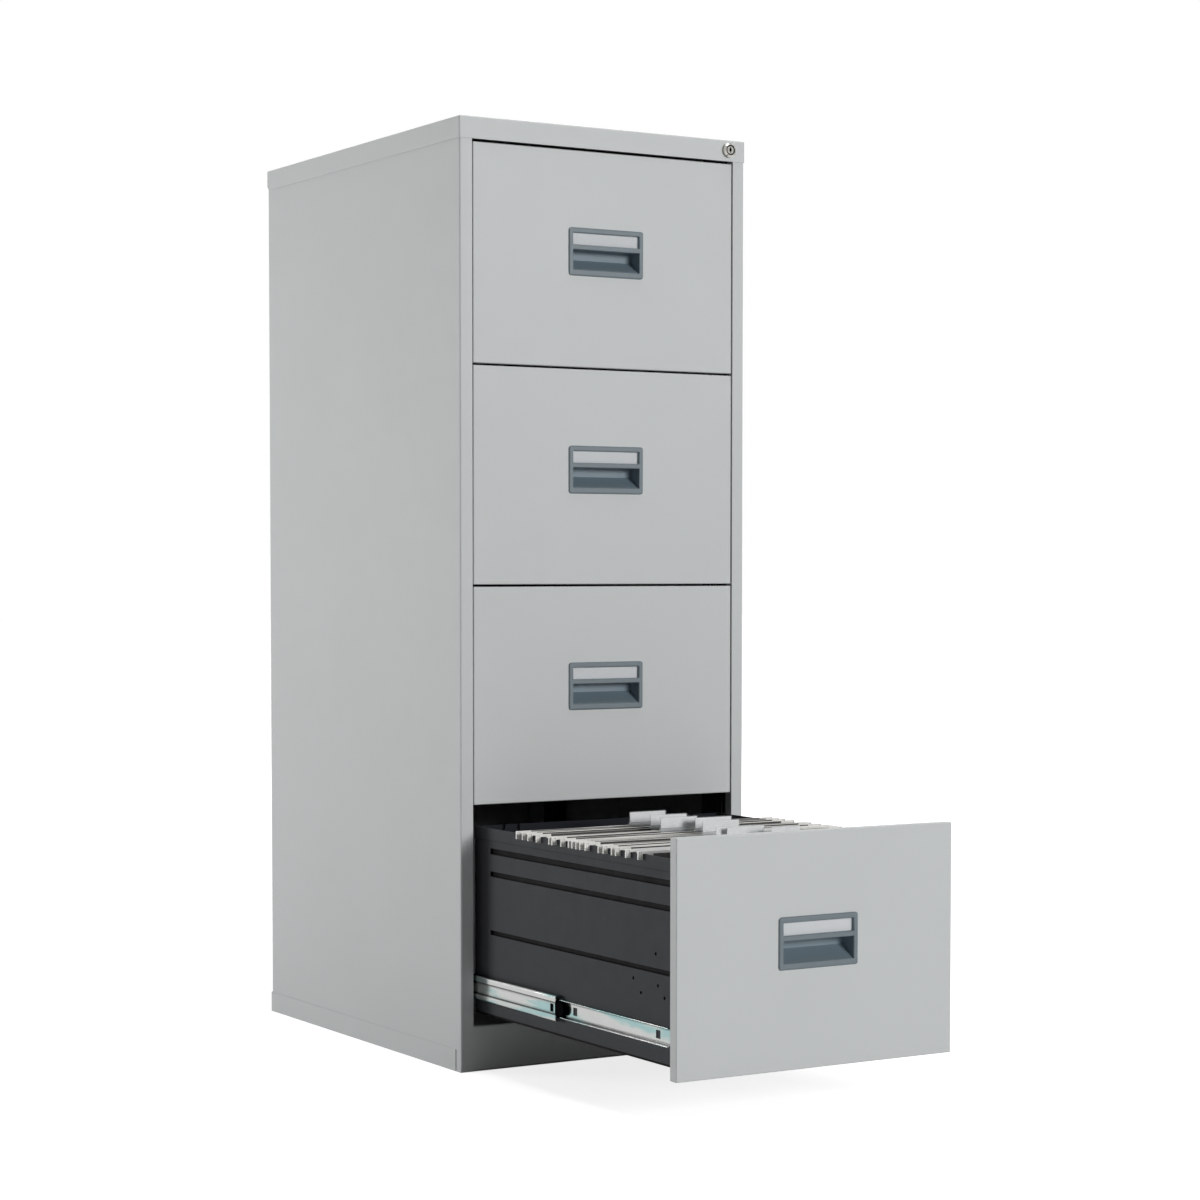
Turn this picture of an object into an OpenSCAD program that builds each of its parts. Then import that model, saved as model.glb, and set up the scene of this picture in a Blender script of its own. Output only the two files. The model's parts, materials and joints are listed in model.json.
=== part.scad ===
// Four-drawer steel filing cabinet with ball-bearing telescopic slides.
// Millimetres. +Z up, +X to the right seen from the front, drawers open towards -Y.
// The origin is the middle of the footprint on the floor. The bottom drawer stands open.

/* [Carcass] */
// Width over the top cover
cabinet_w = 465; // [430:1:520]
// Depth over the top cover
cabinet_d = 622; // [590:1:720]
// Thickness of the sheet steel
sheet_t = 1; // [0.7:0.1:1.4]
// Outside radius of the folded carcass edges
fold_r = 2.5; // [1.8:0.1:4]
// Height of the skirts round the top cover and the base pan
skirt_h = 30; // [20:1:40]
// How far the top cover and base pan stand out behind the back panel
rear_overhang = 2.5; // [1.8:0.1:5]
// Chamfer on the rear lower corners of the top cover
skirt_chamfer = 8; // [3:0.5:15]
// How far the base pan's side skirts stop behind the front
skirt_setback = 15; // [5:1:40]
// Width of the stiles on both sides of the drawers
stile_w = 19; // [14:0.5:24]
// Depth of the stile's inner return
stile_return = 15; // [10:1:22]
// Height of the plinth under the bottom drawer
plinth_h = 62.5; // [50:0.5:90]
// Depth of the plinth's top shelf
plinth_shelf = 34; // [15:1:36]
// Depth of the top rail's lower flange
rail_depth = 20; // [12:1:24]
// Width of the uprights that carry the slides
upright_w = 40; // [25:1:60]
// Height of the slots in the uprights
upright_slot_h = 22; // [10:1:30]
// Width of the slots in the uprights
upright_slot_w = 7.5; // [4:0.5:12]

/* [Drawer fronts] */
// Height of one drawer front
front_h = 298; // [270:1:330]
// Thickness of a boxed drawer front
front_t = 14; // [10:0.5:18]
// How far the shut fronts sit behind the top cover's face
front_inset = 1.5; // [0.5:0.25:4]
// Gap between neighbouring fronts, and over the plinth
front_gap = 3; // [2:0.5:6]
// Gap between the top front and the top cover
top_gap = 3.5; // [2:0.5:8]
// Gap between a front and the stiles
side_gap = 1.75; // [1:0.25:4]
// Radius of the folded edges of a front
front_r = 1.5; // [1.5:0.1:3]
// Width of the lip folded in behind a front
front_lip = 15; // [10:1:20]
// How far that lip reaches over the body's front, above and below
lip_cover = 6; // [4:0.5:10]

/* [Drawer bodies] */
// Length of a drawer body behind its front
body_len = 512; // [490:1:530]
// Height of a body's underside over the front's lower edge
body_lift = 13.5; // [8:0.5:20]
// Height of the front's upper edge over the body's rim
rim_drop = 27.5; // [24:0.5:40]
// Width of the flange under the floor
floor_flange = 12; // [8:1:20]
// Height of the hem folded down along the rim
hem_h = 16; // [8:1:20]
// Thickness that the hem adds outside
hem_t = 0.8; // [0.5:0.1:1.2]
// Depth of the stiffening grooves
swage_depth = 3; // [1.5:0.25:3.5]
// Plain length between the grooves and the back of the body
swage_stop = 42; // [20:1:60]
// Depth of the notches in the rim of the back
notch_h = 9; // [5:1:15]
// Width of the notches in the rim of the back
notch_w = 4; // [3:0.5:6]
// Diameter of the spare fixing holes in the sides
spare_hole_d = 4.5; // [3:0.5:6]

/* [Slides] */
// Room for a slide between a drawer and an upright
slide_w = 12.7; // [12.4:0.1:14]
// Length of the cabinet and middle members
slide_len = 508; // [490:1:530]
// Full travel of a drawer
travel = 509; // [440:1:510]
// Distance of the slides behind the cabinet's front
slide_start = 38; // [36:1:45]
// Height of the slides over the front's lower edge
slide_rise = 51; // [45:1:70]
// Sheet thickness of the slide members
member_t = 1.2; // [1:0.1:1.3]
// Height of the middle member
middle_h = 34.2; // [34:0.2:40]
// Diameter of the outer balls
outer_ball_d = 4.2; // [3.6:0.1:5]
// Diameter of the inner balls
inner_ball_d = 3.2; // [2.8:0.1:3.6]
// Running clearance of balls, cages and members
run_gap = 0.3; // [0.25:0.01:0.35]
// Balls in each row of a cage
row_balls = 6; // [3:1:8]
// Free length at each end of a cage's run
cage_margin = 10; // [5:1:20]
// Distance of the drawer member behind the front
member_setback = 13; // [12:1:20]
// Length of the tongue at the front of an inner cage
tongue_len = 25; // [10:1:27]
// Distance between the slots of a drawer member
slot_pitch = 199.5; // [150:0.5:220]

/* [Handles] */
// Width of the handle plate
handle_w = 121; // [100:1:150]
// Height of the handle's middle over the front's middle
handle_rise = 10; // [0:1:40]
// How far the handle plate stands out of the front
handle_proud = 2.5; // [2.2:0.1:4]
// Corner radius of the handle plate
handle_r = 5; // [2.5:0.5:6]
// Width of the plate beside the window and the grip
frame_side = 6.6; // [6:0.1:10]
// Height of the plate over the label window
frame_top = 7; // [5:0.5:10]
// Height of the label window
window_h = 16.5; // [12:0.5:20]
// Height of the bar between the window and the grip
bar_h = 6.7; // [5:0.1:10]
// Height of the grip's mouth
grip_h = 27.9; // [24:0.1:34]
// Height of the plate under the grip
frame_bottom = 8.3; // [6:0.1:12]
// Depth of the grip behind the front's face
grip_depth = 22; // [18:0.5:30]
// How far the grip's floor climbs towards the back
grip_rise = 15.5; // [10:0.5:20]
// How far the grip reaches up behind the bar
grip_undercut = 12; // [6:0.5:14]
// Wall thickness of the moulding
handle_wall = 2; // [1.5:0.1:3]
// Depth of the label card behind the handle's face
card_depth = 4.8; // [3.5:0.1:6]
// Thickness of the label card
card_t = 0.5; // [0.3:0.05:0.6]

/* [Lock] */
// Distance of the lock from the cabinet's right side
lock_inset = 28.5; // [26:0.5:31]
// Distance of the lock under the cabinet's top
lock_drop = 14.5; // [13:0.5:16]
// Diameter of the lock's bezel
bezel_d = 20.5; // [19.5:0.1:22]
// How far the bezel stands out
bezel_proud = 6; // [4:0.5:8]
// Diameter of the lock's barrel
barrel_d = 16; // [14:0.1:18]
// Diameter of the turning plug
plug_d = 12; // [10:0.1:13]
// Distance of the cam pin from the lock's axis
pin_throw = 8.5; // [7:0.1:9.5]
// Diameter of the cam pin
pin_d = 4; // [3:0.1:5]
// Width of the lock bar
bar_w = 14; // [10:0.5:15]
// Thickness of the lock bar, its cam and the catches
bar_t = 2; // [1.5:0.1:2.5]
// Height of the catches over the front's lower edge
catch_rise = 111; // [100:1:120]
// Height of a catch
catch_h = 12; // [10:0.5:14]

/* [Hanging files] */
// Height of a file bar over the drawer's rim
file_bar_h = 3.5; // [3:0.5:8]
// Thickness of a file bar
file_bar_t = 2.4; // [1.5:0.1:3]
// Length of the hooks outside the rim
hook_drop = 7; // [4:0.5:10]
// Gap between a file and the drawer's grooved sides
file_gap = 10.8; // [8:0.2:20]
// Distance of a file's fold over the drawer's floor
file_clear = 22; // [10:1:40]
// Thickness of a file's leaf
leaf_t = 0.9; // [0.6:0.1:1.2]
// Width of an index tab
tab_w = 59; // [40:1:80]
// Height of an index tab over the file bar
tab_h = 18; // [12:0.5:20]
// Thickness of an index tab's wall
tab_t = 0.6; // [0.4:0.1:0.8]
// Thickness of an index tab at its upper edge
tab_top = 2; // [1.8:0.1:2.5]
// How far an index tab reaches down beside its bar
tab_grip = 3; // [2:0.5:4]
// Distance between the places for tabs along a file
tab_step = 10; // [5:1:20]

/* [Hidden] */
$fn = 48;
// Overlap that keeps a cut from ending in a face
eps = 1;
drawers = 4;
open_drawer = 4;

// Carcass
half_w = cabinet_w / 2;
front_pitch = front_h + front_gap;
cabinet_h = plinth_h + drawers * front_pitch + top_gap + skirt_h;
body_half = half_w - sheet_t;
body_front = -cabinet_d / 2 + sheet_t;
body_back = cabinet_d / 2 - rear_overhang;
wall_h = cabinet_h - 2 * sheet_t;
stile_x = body_half - stile_w;
// How far the rail's flange sits up inside the top cover
rail_tuck = 2;
rail_foot = cabinet_h - skirt_h + rail_tuck;

// Drawers
front_w = 2 * (stile_x - side_gap);
drawer_half = stile_x - slide_w;
body_h = front_h - body_lift - rim_drop;
// Stiffening grooves: distance under the rim and height
swages = [[31, 8.4], [62, 7.4], [142, 6.6]];
// Height of a groove's sloping edge, and how much wider the groove is inside the sheet
swage_run = 0.8;
swage_widen = (norm([swage_depth, swage_run]) - swage_run) / swage_depth;
// Spare fixing holes: distance behind the front, height over the body's underside
spare_holes = [[50, 136], [102, 99.5], [45, 97], [84, 83.5], [30, 83.5]];
// Notches in the back's rim: distance from the middle
notch_x = [132, 155];

// Slide profile: u runs from the drawer to the upright, v up from the slide's middle
middle_half = middle_h / 2;
cabinet_half = middle_half + outer_ball_d + 2 * run_gap + member_t;
drawer_member_half = middle_half - member_t - inner_ball_d - 2 * run_gap;
curl_r = outer_ball_d / 2 + run_gap + member_t;
outer_row_v = cabinet_half - curl_r;
inner_row_v = drawer_member_half + run_gap + inner_ball_d / 2;
cage_t = 0.5;
lip_u = slide_w - member_t - 2 * run_gap - cage_t;
middle_web_u = lip_u - 2 * member_t;
inner_cage_t = 0.8;
inner_cage_u = middle_web_u - run_gap - inner_cage_t;
drawer_lip_u = inner_cage_u - run_gap;
outer_row_u = slide_w / 2;
ball_play = 0.1;
inner_row_u = drawer_lip_u - inner_ball_d / 2 - ball_play;
// Height and outer radius of the middle member's lips
lip_h = 8.3;
lip_r = 3;
web_half = middle_half - lip_h;
// How far a cage reaches past the middle of its balls
cage_hold = 1;
outer_cage_start = slide_start + travel / 4 + cage_margin;
outer_cage_len = slide_len - travel / 2 - 2 * cage_margin;
member_start = front_inset + front_t + member_setback;
member_len = body_len - member_setback;
inner_cage_start = slide_start + travel / 4 + cage_margin;
inner_cage_len = member_start + member_len - travel / 4 - cage_margin - inner_cage_start;
slot_w = 10;
slot_h = 10.5;
first_slot = 24;
// The rear upright stops short of the slides' rear ends
upright_inset = 6;
upright_at = [slide_start, slide_start + slide_len - upright_w - upright_inset];

// Handle, measured up from the plate's lower edge
handle_h = frame_bottom + grip_h + bar_h + window_h + frame_top;
mouth_w = handle_w - 2 * frame_side;
grip_top = frame_bottom + grip_h;
window_foot = grip_top + bar_h;
pocket_top = grip_top + grip_undercut;
card_play = 0.3;
card_edge = 1.2;
// Face and rear of the card behind the cabinet's front, and rear of the bar behind the card
card_face = card_depth - handle_proud;
card_rear = card_face + card_t;
bar_rear = card_rear + handle_wall;
// Half width and upper edge of the box behind the label window
label_half = mouth_w / 2 + card_edge + handle_wall;
label_top = window_foot + window_h + card_edge + handle_wall;
handle_play = 0.5;
edge_r = 2.2;
// Bevel of the grip's and the window's edges
rim_bevel = 0.8;

// Lock
lock_x = half_w - lock_inset;
lock_z = cabinet_h - lock_drop;
// Bevels of the bezel and the plug, and the plug's depth behind the bezel's rim
bezel_bevel = 2;
plug_bevel = 0.7;
plug_recess = 0.5;
plug_play = 0.05;
barrel_play = 0.1;
barrel_len = 22;
pin_play = 0.4;
// Keyway: width, height and depth of its slot, and size of its square middle
keyway = [1.8, 8, 9];
keyway_mid = 3.8;
pin_angle = -45;
bar_lift = 2 * pin_throw * sin(-pin_angle);
// Gaps between the cam and the bar, the bar and the catches, and a lug and its catch at rest
cam_gap = 1.5;
catch_gap = 1;
lug_gap = 1.5;
bar_front = barrel_len + bar_t + cam_gap;
pin_len = 2 * bar_t + cam_gap;
bar_inset = 2;
bar_x = stile_x + bar_inset;
bar_play = 0.4;
// Gap under a piece that is welded on
seat_gap = 0.1;
strip_front = bar_front + bar_t + seat_gap;
// How far the bar reaches below its lowest lug
bar_tail = 40;
bar_foot = plinth_h + front_gap + catch_rise - bar_tail;
// Metal left round the slot in the bar's head, and free length at the slot's ends
head_rim = 3;
slot_end = 1;
lug_h = bar_lift - lug_gap;
lug_clear = 2.2;
lug_x = drawer_half + hem_t + lug_clear;
// How far a lug laps over the bar, and length of a catch's foot
lug_lap = 8;
catch_d = bar_front + bar_t + catch_gap;
catch_reach = 9;
catch_foot = 18;
guide_h = 14;
guide_t = 1;
// Height of the bar's guides over a front's lower edge
guide_rise = 223;
guide_z = [for (n = [1 : drawers]) front_z(n) + guide_rise];

// Files: each pair gives the bars of one file, measured back from the cabinet's front when shut
files = [[384, 400], [347, 369], [306, 314], [264, 283], [245, 255],
         [222, 235], [178, 190], [148, 158], [95, 124]];
// Index tabs: number of the file, front bar 0 or rear bar 1, places to the right of the middle
tabs = [[0, 1, 0], [1, 0, 0], [2, 0, -1], [3, 1, 3], [5, 1, 1], [7, 1, -2], [7, 0, -1], [8, 1, 3]];
tab_play = 0.2;
file_w = 2 * (drawer_half - sheet_t - swage_depth - file_gap);
// Hooks: play outside the rim, width of a leg, gap between its legs, rim and depth of its sunk panels
hook_play = 0.3;
hook_w = 6.5;
hook_gap = 9;
hook_rim = 1;
hook_sink = 0.5;

// Limits lo and hi counted from a base, and limits on both sides of a middle
function from(base, lo, hi) = [base + lo, base + hi];
function about(mid, half) = [mid - half, mid + half];
function at(d) = -cabinet_d / 2 + d;
function front_z(n) = plinth_h + front_gap + (drawers - n) * front_pitch;
function slide_z(n) = front_z(n) + slide_rise;
function body_z(n) = front_z(n) + body_lift;
function rim_z(n) = body_z(n) + body_h;
function handle_z(n) = front_z(n) + front_h / 2 + handle_rise - handle_h / 2;
function opened(n) = n == open_drawer ? travel : 0;

fixed_nodes = ["base_pan", "left_side_panel", "right_side_panel", "back_panel", "top_cover",
    "plinth", "top_rail", "left_uprights", "right_uprights",
    "lock_housing", "lock_plug", "lock_cam", "lock_bar"];
drawer_pieces = ["front", "handle", "label_card", "left_side", "right_side", "pan"];
slide_pieces = ["cabinet_members", "middle_members", "drawer_members", "outer_cages", "inner_cages"];
file_nodes = ["file_bars", "file_leaves", "index_tabs"];

steel_grey = "#b9bcbb";
body_black = "#3a3b3d";
zinc = "#c9d2d2";
moulding = "#7c8a93";

// Shapes that repeat

// Box between two limits on each axis
module block(x, y, z) {
    translate([x[0], y[0], z[0]])
        cube([x[1] - x[0], y[1] - y[0], z[1] - z[0]]);
}

// Flat rectangle between two limits on each axis
module plate(x, y) {
    translate([x[0], y[0]])
        square([x[1] - x[0], y[1] - y[0]]);
}

module round_rect(w, h, r) {
    square([w - 2 * r, h], center = true);
    square([w, h - 2 * r], center = true);
    for (sx = [-1, 1], sy = [-1, 1])
        translate([sx * (w / 2 - r), sy * (h / 2 - r)])
            circle(r);
}

// Extrudes a profile drawn in X and Z along Y
module along_y(y, len) {
    translate([0, y + len, 0])
        rotate([90, 0, 0])
            linear_extrude(len)
                children();
}

// Extrudes a profile drawn in Y and Z along X
module along_x(x, len) {
    translate([x, 0, 0])
        rotate([90, 0, 90])
            linear_extrude(len)
                children();
}

// Flat panel facing -Y with rounded front edges
module rounded_panel(w, h, t, r, corner_r) {
    intersection() {
        along_y(0, t)
            translate([0, h / 2])
                round_rect(w, h, corner_r);
        translate([0, t, -eps])
            linear_extrude(h + 2 * eps)
                round_rect(w, 2 * t, r);
        along_x(-w / 2 - eps, w + 2 * eps)
            translate([t, h / 2])
                round_rect(2 * t, h, r);
    }
}

module both_sides() {
    children();
    mirror([1, 0, 0])
        children();
}

module upper_and_lower() {
    children();
    mirror([0, 1])
        children();
}

// Quarter of a ring with its corner towards [sx, sy]
module quarter_ring(r, t, sx, sy) {
    difference() {
        intersection() {
            circle(r);
            translate([sx * r / 2, sy * r / 2])
                square(r, center = true);
        }
        circle(r - t);
    }
}

// Carcass

module wrap_outline() {
    depth = body_back - body_front;
    translate([0, (body_front + body_back) / 2])
        difference() {
            round_rect(2 * body_half, depth, fold_r);
            round_rect(2 * (body_half - sheet_t), depth - 2 * sheet_t, fold_r - sheet_t);
        }
}

// Right side with its stile at the front and its flange at the back
module side_panel() {
    color(steel_grey)
        translate([0, 0, sheet_t])
            linear_extrude(wall_h) {
                intersection() {
                    wrap_outline();
                    plate([stile_x, half_w], [-cabinet_d / 2, cabinet_d / 2]);
                }
                plate([stile_x, stile_x + sheet_t], [body_front, body_front + stile_return]);
            }
}

module left_side_panel() {
    mirror([1, 0, 0])
        side_panel();
}

module right_side_panel() {
    difference() {
        side_panel();
        lock_hole();
    }
}

module back_panel() {
    reach = body_half - sheet_t - fold_r;
    color(steel_grey)
        block([-reach, reach], from(body_back, -2 * sheet_t, -sheet_t), from(sheet_t, 0, wall_h));
}

module top_cover() {
    foot = cabinet_h - skirt_h;
    color(steel_grey)
        difference() {
            intersection() {
                translate([0, 0, foot])
                    linear_extrude(skirt_h)
                        round_rect(cabinet_w, cabinet_d, fold_r);
                along_y(-cabinet_d, 2 * cabinet_d)
                    translate([0, foot])
                        round_rect(cabinet_w, 2 * skirt_h, fold_r);
                along_x(-cabinet_w, 2 * cabinet_w)
                    translate([0, foot])
                        round_rect(cabinet_d, 2 * skirt_h, fold_r);
            }
            block([-body_half, body_half], [body_front, cabinet_d / 2 - sheet_t],
                [foot - eps, cabinet_h - sheet_t]);
            along_x(-cabinet_w, 2 * cabinet_w)
                polygon([[cabinet_d / 2 - skirt_chamfer, foot - eps], [cabinet_d / 2 + eps, foot - eps],
                    [cabinet_d / 2 + eps, foot + skirt_chamfer], [cabinet_d / 2, foot + skirt_chamfer]]);
            lock_hole();
        }
}

// Floor tray with skirts on the sides and the back
module base_pan() {
    inner_back = cabinet_d / 2 - sheet_t;
    color(steel_grey)
        difference() {
            linear_extrude(skirt_h)
                round_rect(cabinet_w, cabinet_d, fold_r);
            block([-body_half, body_half], [-cabinet_d, inner_back], [sheet_t, skirt_h + eps]);
            block([-cabinet_w, cabinet_w], [-cabinet_d, body_front + skirt_setback],
                [sheet_t, skirt_h + eps]);
            block([-cabinet_w, cabinet_w], [-cabinet_d, body_front], [-eps, skirt_h]);
        }
}

// Channel between the stiles that closes the front under the bottom drawer
module plinth() {
    height = plinth_h - sheet_t;
    color(steel_grey)
        along_x(-stile_x, 2 * stile_x)
            intersection() {
                translate([body_front + plinth_shelf, sheet_t + height / 2])
                    difference() {
                        round_rect(2 * plinth_shelf, height, fold_r);
                        round_rect(2 * (plinth_shelf - sheet_t), height - 2 * sheet_t, fold_r - sheet_t);
                    }
                plate([body_front, body_front + plinth_shelf], [0, plinth_h]);
            }
}

// Angle behind the top cover's front skirt, which carries the lock
module top_rail() {
    head = cabinet_h - sheet_t;
    color(steel_grey)
        difference() {
            along_x(-stile_x, 2 * stile_x) {
                plate([body_front, body_front + sheet_t], [rail_foot, head]);
                plate([body_front, body_front + rail_depth], [rail_foot, rail_foot + sheet_t]);
            }
            lock_hole();
        }
}

// Front and rear upright of one side, with a pair of slots for each slide
module upright_pair() {
    inner_x = body_half - sheet_t;
    difference() {
        for (d = upright_at)
            translate([0, 0, sheet_t])
                linear_extrude(wall_h) {
                    plate([stile_x, stile_x + sheet_t], [at(d), at(d + upright_w)]);
                    plate([stile_x, inner_x], [at(d), at(d) + sheet_t]);
                    plate([stile_x, inner_x], [at(d + upright_w) - sheet_t, at(d + upright_w)]);
                }
        for (d = upright_at, n = [1 : drawers], s = [-1, 1])
            translate([stile_x, at(d + upright_w / 2), slide_z(n) + s * (cabinet_half + upright_slot_h)])
                cube([4 * sheet_t, upright_slot_w, upright_slot_h], center = true);
    }
}

module left_uprights() {
    color(steel_grey)
        mirror([1, 0, 0])
            upright_pair();
}

// The right pair also holds the straps that guide the lock bar
module right_uprights() {
    color(steel_grey) {
        upright_pair();
        for (z = guide_z)
            lock_bar_guide(z);
    }
}

module lock_bar_guide(z) {
    x0 = bar_x - bar_play;
    x1 = bar_x + bar_w + bar_play;
    d0 = strip_front - bar_play - guide_t;
    depth = [at(d0), at(slide_start - seat_gap)];
    height = [z, z + guide_h];
    block([x0 - guide_t, x0], depth, height);
    block([x1, x1 + guide_t], depth, height);
    block([x0 - guide_t, x1 + guide_t], [at(d0), at(d0 + guide_t)], height);
}

// Lock

module lock_hole() {
    translate([lock_x, at(-eps), lock_z])
        rotate([-90, 0, 0])
            cylinder(d = barrel_d + 2 * barrel_play, h = barrel_len);
}

// Barrel with a tapered bezel that seats on the top cover
module lock_housing() {
    color("silver")
        translate([lock_x, at(0), lock_z])
            rotate([90, 0, 0])
                difference() {
                    union() {
                        cylinder(d = bezel_d, h = bezel_proud - bezel_bevel);
                        translate([0, 0, bezel_proud - bezel_bevel])
                            cylinder(d1 = bezel_d, d2 = bezel_d - 2 * bezel_bevel, h = bezel_bevel);
                        translate([0, 0, -barrel_len])
                            cylinder(d = barrel_d, h = barrel_len);
                    }
                    translate([0, 0, -barrel_len - eps])
                        cylinder(d = plug_d + 2 * plug_play, h = barrel_len + bezel_proud + 2 * eps);
                }
}

// Plug with a bevelled face and a keyway that is wider in the middle
module lock_plug() {
    face = bezel_proud - plug_recess;
    color("gainsboro")
        translate([lock_x, at(0), lock_z])
            rotate([90, 0, 0])
                difference() {
                    union() {
                        translate([0, 0, -barrel_len])
                            cylinder(d = plug_d, h = barrel_len + face - plug_bevel);
                        translate([0, 0, face - plug_bevel])
                            cylinder(d1 = plug_d, d2 = plug_d - 2 * plug_bevel, h = plug_bevel);
                    }
                    translate([0, 0, face - keyway[2] / 2 + eps]) {
                        cube(keyway, center = true);
                        cube([keyway_mid, keyway_mid, keyway[2]], center = true);
                    }
                }
}

// Lever behind the plug with the pin that lifts the bar
module lock_cam() {
    color("silver")
        translate([lock_x, at(barrel_len), lock_z])
            rotate([0, -pin_angle, 0])
                rotate([-90, 0, 0]) {
                    cylinder(d = plug_d, h = bar_t);
                    translate([0, -pin_d, 0])
                        cube([pin_throw, 2 * pin_d, bar_t]);
                    translate([pin_throw, 0, 0])
                        cylinder(d = 2 * pin_d, h = bar_t);
                    translate([pin_throw, 0, 0])
                        cylinder(d = pin_d, h = pin_len);
                }
}

// Flat bar with a slotted head and a lug below each drawer's catch, welded to its front
module lock_bar() {
    pin_x = lock_x + pin_throw * cos(pin_angle);
    pin_z = lock_z + pin_throw * sin(pin_angle);
    slot_x = [pin_x - pin_d / 2 - slot_end, lock_x + pin_throw + pin_d / 2 + slot_end];
    slot_z = about(pin_z, pin_d / 2 + pin_play);
    head = slot_z[1] + head_rim;
    color(zinc) {
        block(from(bar_x, 0, bar_w), from(at(strip_front), 0, bar_t), [bar_foot, head]);
        along_y(at(bar_front), bar_t)
            difference() {
                plate([slot_x[0] - head_rim, bar_x + bar_w], [slot_z[0] - head_rim, head]);
                plate(slot_x, slot_z);
            }
        for (n = [1 : drawers])
            block([lug_x, bar_x + lug_lap], from(at(bar_front), 0, bar_t),
                from(front_z(n) + catch_rise - lug_gap, -lug_h, 0));
    }
}

// Drawers

// Boxed front: folded face, open at the back inside its lip
module drawer_front(n) {
    z = front_z(n);
    inner = front_w / 2 - sheet_t;
    lip = front_w / 2 - front_lip;
    color(steel_grey)
        difference() {
            translate([0, at(0), z])
                rounded_panel(front_w, front_h, front_t, front_r, front_r);
            block([-inner, inner], [at(sheet_t), at(front_t - sheet_t)],
                [z + sheet_t, z + front_h - sheet_t]);
            block([-lip, lip], [at(sheet_t), at(front_t + eps)],
                [body_z(n) + lip_cover, rim_z(n) - lip_cover]);
            handle_cut(n);
        }
}

// Opening through the front and the body for the handle's pocket
module handle_cut(n) {
    reach = label_half + handle_play;
    foot = frame_bottom - handle_wall - handle_play;
    block([-reach, reach], [at(-eps), at(front_t + sheet_t + eps)],
        from(handle_z(n), foot, label_top + handle_play));
}

// Floor, inner front and back, folded from one sheet
module drawer_pan(n) {
    reach = drawer_half - sheet_t;
    floor_z = body_z(n) + sheet_t;
    front_reach = reach - swage_depth - run_gap;
    last = front_t + body_len;
    color(body_black)
        difference() {
            union() {
                block([-reach, reach], [at(front_t), at(last)], [floor_z, floor_z + sheet_t]);
                block([-front_reach, front_reach], [at(front_t), at(front_t + sheet_t)],
                    [floor_z, rim_z(n)]);
                block([-reach, reach], [at(last - sheet_t), at(last)], [floor_z, rim_z(n)]);
            }
            handle_cut(n);
            for (s = [-1, 1], x = notch_x)
                translate([s * x, at(last), rim_z(n)])
                    cube([notch_w, 4 * sheet_t, 2 * notch_h], center = true);
        }
}

// Line down a side at depth t in its sheet, from its underside to its rim, with the grooves set in
function side_line(t) = concat([[-t, 0]],
    [for (i = [len(swages) - 1 : -1 : 0])
        let (mid = body_h - swages[i][0],
            mouth = swages[i][1] / 2 + t * swage_widen,
            bed = mouth - swage_run)
        each [[-t, mid - mouth], [-t - swage_depth, mid - bed],
            [-t - swage_depth, mid + bed], [-t, mid + mouth]]],
    [[-t, body_h]]);

module side_edges() {
    plate([-floor_flange, 0], [0, sheet_t]);
    plate([0, hem_t], [body_h - hem_h, body_h]);
}

module swaged_profile() {
    inner = side_line(sheet_t);
    polygon(concat(side_line(0), [for (i = [len(inner) - 1 : -1 : 0]) inner[i]]));
    side_edges();
}

module plain_profile() {
    plate([-sheet_t, 0], [0, body_h]);
    side_edges();
}

// Right side: three grooves that stop short of the back, floor flange and hemmed rim
module drawer_side(n) {
    groove_end = body_len - swage_stop;
    translate([drawer_half, at(front_t), body_z(n)])
        difference() {
            union() {
                along_y(0, groove_end)
                    swaged_profile();
                along_y(groove_end, swage_stop)
                    plain_profile();
                for (s = swages)
                    block([-swage_depth - sheet_t, 0], [groove_end - sheet_t, groove_end],
                        about(body_h - s[0], s[1] / 2));
            }
            for (h = spare_holes)
                translate([-eps - sheet_t, h[0], h[1]])
                    rotate([0, 90, 0])
                        cylinder(d = spare_hole_d, h = sheet_t + 2 * eps);
        }
}

module drawer_left_side(n) {
    color(body_black)
        mirror([1, 0, 0])
            drawer_side(n);
}

// The right side also has the catch for the lock bar
module drawer_right_side(n) {
    color(body_black) {
        drawer_side(n);
        lock_catch(n);
    }
}

// Angle on the right side whose tongue the lock bar's lug stops
module lock_catch(n) {
    foot = drawer_half + seat_gap;
    y = at(catch_d - front_inset);
    z = from(front_z(n) + catch_rise, 0, catch_h);
    block([foot, foot + sheet_t], from(y, 0, catch_foot), z);
    block([foot, drawer_half + catch_reach], from(y, 0, bar_t), z);
}

// Opening in the handle's face between two heights, with bevelled edges
module face_opening(z0, z1, depth) {
    face = -handle_proud;
    reach = mouth_w / 2;
    wide = reach + rim_bevel;
    along_x(-reach, mouth_w) {
        plate([face - eps, depth], [z0, z1]);
        polygon([[face - eps, z0 - rim_bevel], [face, z0 - rim_bevel], [face + rim_bevel, z0],
            [face + rim_bevel, z1], [face, z1 + rim_bevel], [face - eps, z1 + rim_bevel]]);
    }
    translate([0, 0, z0])
        linear_extrude(z1 - z0)
            polygon([[-wide, face - eps], [-wide, face], [-reach, face + rim_bevel],
                [reach, face + rim_bevel], [wide, face], [wide, face - eps]]);
}

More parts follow.
